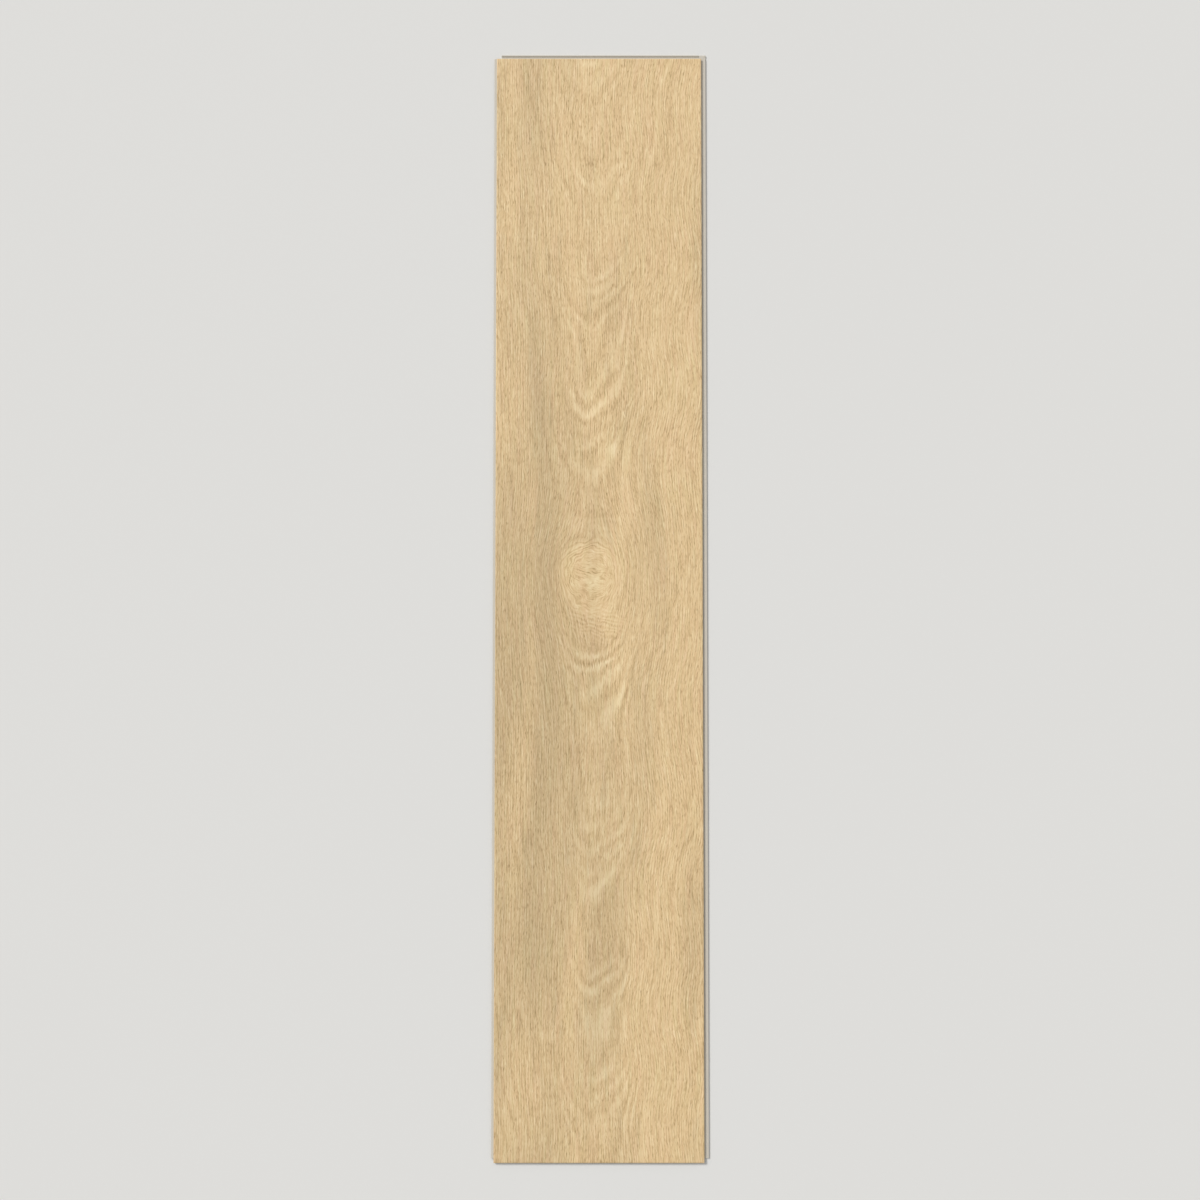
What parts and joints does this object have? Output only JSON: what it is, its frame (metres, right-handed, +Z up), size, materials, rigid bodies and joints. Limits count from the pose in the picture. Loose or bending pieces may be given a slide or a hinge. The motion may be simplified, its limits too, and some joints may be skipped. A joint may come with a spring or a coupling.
{
  "type": "vinyl floor plank",
  "caption": "Rigid vinyl floor plank with an oak-look printed face, a fine bevel round it, angling click locks on its long edges and drop locks on its ends.",
  "frame": {"origin": "on the underside, below the middle of the printed face", "axes": "+X across the plank from its tongue to its groove, +Y along it from its hooked end to its lipped end, +Z up from the sub-floor to the printed face"},
  "size_m": [0.2363, 1.2239, 0.005],
  "materials": {
    "printed_vinyl": "matte, lightly embossed oak-look print in pale tan, with bare off-white filled vinyl on the milled edges and the underside"
  },
  "bodies": {
    "root": {"plank": "printed_vinyl"}
  },
  "joints": []
}
